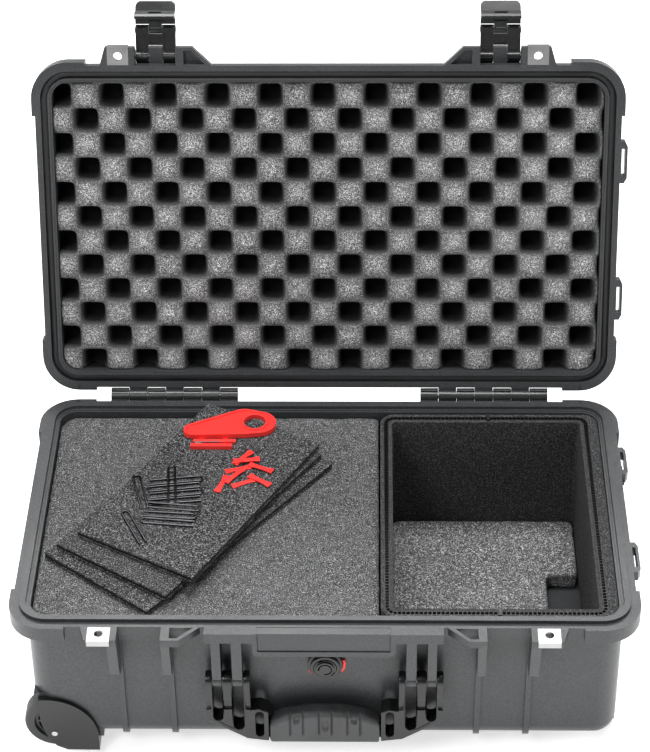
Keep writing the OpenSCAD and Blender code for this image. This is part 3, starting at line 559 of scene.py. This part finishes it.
def crate_foam():
    """Egg-crate foam in the lid: a wavy face, a skirt along the rim and a flat back."""
    inset = INNER + 0.0006
    hx, hy, r = FLANGE_X - inset, FLANGE_Y - inset, CRATE_CORNER
    nu, nv = CRATE_STEPS
    vertices, painted_shade_levels = [], []
    for j in range(nv + 1):
        y = -hy + 2 * hy * j / nv
        over = max(0.0, abs(y) - (hy - r))
        half = hx - (r - math.sqrt(max(0.0, r * r - over * over)))
        for i in range(nu + 1):
            x = half * (2 * i / nu - 1)
            height, level = crate_height(x, HINGE_Y - y)
            vertices.append(Vector((x, y, PART_Z + height)))
            painted_shade_levels.append(level)
    row = nu + 1
    faces = [(j * row + i, (j + 1) * row + i, (j + 1) * row + i + 1, j * row + i + 1)
        for j in range(nv) for i in range(nu)]
    rim = list(range(row)) + [j * row + nu for j in range(1, nv + 1)]
    rim += [nv * row + i for i in range(nu - 1, -1, -1)] + [j * row for j in range(nv - 1, 0, -1)]
    last = rim
    n = len(rim)
    for height, shrink in CRATE_SKIRT:
        ring = []
        for k in rim:
            x, y = vertices[k].x * shrink, vertices[k].y * (1 - (1 - shrink) * 1.7)
            ring.append(len(vertices))
            vertices.append(Vector((x, y, PART_Z + height)))
        faces += [(last[i], last[(i + 1) % n], ring[(i + 1) % n], ring[i]) for i in range(n)]
        last = ring
    faces.append(tuple(last))
    opened = [ON_LID @ v for v in vertices]
    obj = piece("crate_foam", opened, faces, CRATE_FOAM, "lid", smooth=True)
    painted_shade_levels += [1.0] * (len(vertices) - len(painted_shade_levels))
    # The level attribute drives the painted shade in the pits and saddles.
    obj.data.attributes.new("level", "FLOAT", "POINT").data.foreach_set("value", painted_shade_levels)
    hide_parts("lid_foam")
    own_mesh(obj)


def divider_wall():
    """Folded wall round the bay: foam, a fluted plastic core and foam again."""
    cx, hx = (BAY_X0 + BAY_X1) / 2, (BAY_X1 - BAY_X0) / 2
    low = LINER_LOW

    def loop(inset):
        """A loop round the bay. It stands back from the right side, where the foam is thicker."""
        return rounded_loop(cx - LINER_MORE / 2, 0, hx - LINER_MORE / 2 - inset, BAY_Y - inset,
            max(0.014 - inset, 0.003))

    skin = 0.0005
    core_a, core_b = 0.0036, 0.0078
    outer = Solid()
    outside = rounded_loop(cx, 0, hx - 0.0001, BAY_Y - 0.0001, 0.0139)
    outer.wall(outside, loop(core_a), low, LINER_TOP)
    first = outer.piece("divider_outer_foam", LINER_FOAM, "base", "divider_foam", bevel=0.0005)
    inner = Solid()
    inner.wall(loop(core_b), loop(DIVIDER_T), low, LINER_TOP - 0.0004)
    second = inner.piece("divider_inner_foam", LINER_FOAM, "base", "divider_foam", bevel=0.0005)
    core = Solid()
    core.wall(loop(core_a), loop(core_a + skin), low, LINER_TOP - 0.0003)
    core.wall(loop(core_b - skin), loop(core_b), low, LINER_TOP - 0.0003)
    middle = loop((core_a + core_b) / 2)
    half = (core_b - core_a) / 2 - skin
    for place, along in along_loop(middle, 0.0038):
        turned = level_frame(place.x, place.y, 0, along, Vector((-along.y, along.x)))
        core.box((-0.00035, -half - 0.0001, low), (0.00035, half + 0.0001, LINER_TOP - 0.0003),
            turned)
    core.piece("divider_core", CORE, "base", "divider_foam")
    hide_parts("divider_wall")


def panel(index):
    """A loose divider panel: two foam faces with a fluted core that shows on its edges."""
    node = f"divider_panel_{index}"
    co = np.array([v.co for v in nodes[node].data.vertices])
    front = co[co[:, 1].argmin()]
    right = co[co[:, 0].argmax()]
    left = co[co[:, 0].argmin()]
    low, high = co[:, 2].min(), co[:, 2].max()
    front, right, left = (Vector((p[0], p[1], 0)) for p in (front, right, left))
    length, width = (right - front).length, (left - front).length
    along = (right - front).normalized()
    across = (left - front).normalized()
    turned = level_frame(front.x, front.y, low, along, across)
    thick = high - low
    face = 0.0021
    for side, z0, z1 in (("under", 0, face), ("upper", thick - face, thick)):
        sheet = Solid()
        sheet.box((0.0001, 0.0001, z0), (length - 0.0001, width - 0.0001, z1), turned)
        obj = sheet.piece(f"panel_{index}_{side}", PANEL_FOAM, "base", "divider_foam", bevel=0.0005)
    core = Solid()
    gap, skin, pitch = 0.0004, 0.0004, 0.004
    core.box((gap, gap, face), (length - gap, width - gap, face + skin), turned)
    core.box((gap, gap, thick - face - skin), (length - gap, width - gap, thick - face), turned)
    count = int(width / pitch)
    for i in range(count + 1):
        y = gap + (width - 2 * gap - skin) * i / count
        core.box((gap, y, face), (length - gap, y + skin, thick - face), turned)
    obj = core.piece(f"panel_{index}_core", CORE, "base", "divider_foam")
    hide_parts(node)


def grip_top(x):
    """Height of the front grip at a place along it."""
    x = abs(x)
    if x <= GRIP_STOPS[0][0]:
        return GRIP_STOPS[0][1]
    for (x0, h0), (x1, h1) in zip(GRIP_STOPS, GRIP_STOPS[1:]):
        if x <= x1:
            return h0 + (h1 - h0) * (x - x0) / (x1 - x0)
    return GRIP_STOPS[-1][1]


def grip_dent(x, y, height, top):
    """How deep the grip's face is pressed in: grooves beside three bands, and small recesses."""
    if y > GRIP_Y or height < GRIP_PATTERN_LOW:
        return 0.0
    dent = 0.0
    for edge in GROOVES:
        dent = max(dent, GROOVE_DEEP * max(0.0, 1 - (abs(x - edge) / GROOVE_HALF) ** 2))
    for middle in RECESSES:
        if abs(x - middle) < RECESS_HALF and top - 0.008 < height < top - 0.0035:
            dent = RECESS_DEEP
    if ((x - 0.0005) / 0.0034) ** 2 + ((height - top * 0.62) / 0.006) ** 2 < 1:
        dent = OVAL_DEEP
    return dent


def front_grip():
    """Rubber grip with raised bands, built from cross-sections along its length."""
    half, steps = GRIP_HALF, 220
    vertices = []
    for i in range(steps + 1):
        x = -half + 2 * half * i / steps
        near = min(1.0, (half - abs(x)) / GRIP_END)
        shrink = GRIP_END * (1 - math.sqrt(max(0.0, 1 - (1 - near) ** 2)))
        top = grip_top(x)
        loop = rounded_loop(0, top / 2, GRIP_DEPTH - shrink, top / 2 - shrink, GRIP_CORNER,
            steps=7)
        dense = []
        for k, (a, b) in enumerate(loop):
            c, d = loop[(k + 1) % len(loop)]
            parts = 14 if math.hypot(c - a, d - b) > 0.004 else 1
            dense += [(a + (c - a) * t / parts, b + (d - b) * t / parts) for t in range(parts)]
        for y, z in dense:
            dent = grip_dent(x, GRIP_Y + y, z, top)
            vertices.append(Vector((x, GRIP_Y + y + dent, GRIP_LOW + z)))
    n = len(vertices) // (steps + 1)
    faces = [(i * n + k, i * n + (k + 1) % n, (i + 1) * n + (k + 1) % n, (i + 1) * n + k)
        for i in range(steps) for k in range(n)]
    faces.append(tuple(range(n - 1, -1, -1)))
    faces.append(tuple(range(steps * n, (steps + 1) * n)))
    obj = piece("front_grip", vertices, faces, GRIP, "front_handle", smooth=True)
    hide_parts("front_handle_grip")


def blade():
    """Thin steel blade that shows between the rails of the cutter's slider."""
    strip = Solid()
    top = FOAM_TOP + PANELS_HIGH + CUTTER_T
    left, low, y = -0.124, top - 0.002, 0.0736
    strip.box((left, y - 0.0005, low), (-0.1, y + 0.0005, top + 0.0014))
    strip.box((left, y - 0.001, low), (-0.118, y + 0.001, top + 0.0004))
    strip.piece("cutter_edge", STEEL, "base", "bright_steel")


def make_pieces():
    blade()
    front_grip()
    cut_foam("foam_block", "base_foam_block", BLOCK_FOAM, 0.004, 0.0006)
    cut_foam("foam_pad", "bay_pad", PAD_FOAM, 0.0025, 0.0005)
    crate_foam()
    divider_wall()
    for index in (1, 2, 3):
        panel(index)


# ---------------------------------------------------------------- stage

def area_light(name, place, target, size, power):
    data = bpy.data.lights.new(name, "AREA")
    data.shape = "RECTANGLE"
    data.size, data.size_y = size
    data.energy = power
    obj = bpy.data.objects.new(name, data)
    scene.collection.objects.link(obj)
    obj.location = place
    obj.rotation_euler = (Vector(target) - Vector(place)).to_track_quat("-Z", "Y").to_euler()


def make_camera():
    data = bpy.data.cameras.new("camera")
    data.lens = CAMERA_LENS
    data.sensor_width = CAMERA_SENSOR
    data.clip_start, data.clip_end = CAMERA_CLIP
    camera = bpy.data.objects.new("camera", data)
    scene.collection.objects.link(camera)
    turn = Matrix.Identity(4)
    for degrees, axis in CAMERA_TURNS:
        turn = turn @ Matrix.Rotation(math.radians(degrees), 4, axis)
    camera.matrix_world = Matrix.Translation(CAMERA_PLACE) @ turn
    scene.camera = camera


def make_floor():
    s = Shader("floor_white")
    s.link(s.ramp(s.noise(1.5, 2), [(0.3, (0.93, 0.93, 0.93)), (0.7, (0.97, 0.97, 0.97))]),
        s.bsdf.inputs["Base Color"])
    s.bsdf.inputs["Roughness"].default_value = 0.9
    s.bsdf.inputs["Emission Color"].default_value = (1, 1, 1, 1)
    s.bsdf.inputs["Emission Strength"].default_value = FLOOR_GLOW
    mesh = bpy.data.meshes.new("floor")
    h = FLOOR_HALF
    mesh.from_pydata([(-h, -h, 0), (h, -h, 0), (h, h, 0), (-h, h, 0)], [], [(0, 1, 2, 3)])
    mesh.materials.append(s.material)
    floor = bpy.data.objects.new("floor", mesh)
    floor.location.z = -FLOOR_DROP
    scene.collection.objects.link(floor)


def make_stage():
    make_camera()
    make_floor()
    world = bpy.data.worlds.new("studio")
    world.use_nodes = True
    background = world.node_tree.nodes["Background"]
    background.inputs[0].default_value = (1, 1, 1, 1)
    background.inputs[1].default_value = WORLD_LIGHT
    scene.world = world
    for light in LIGHTS:
        area_light(*light)
    scene.view_settings.view_transform = "Standard"


dress_nodes()
make_pieces()
make_stage()
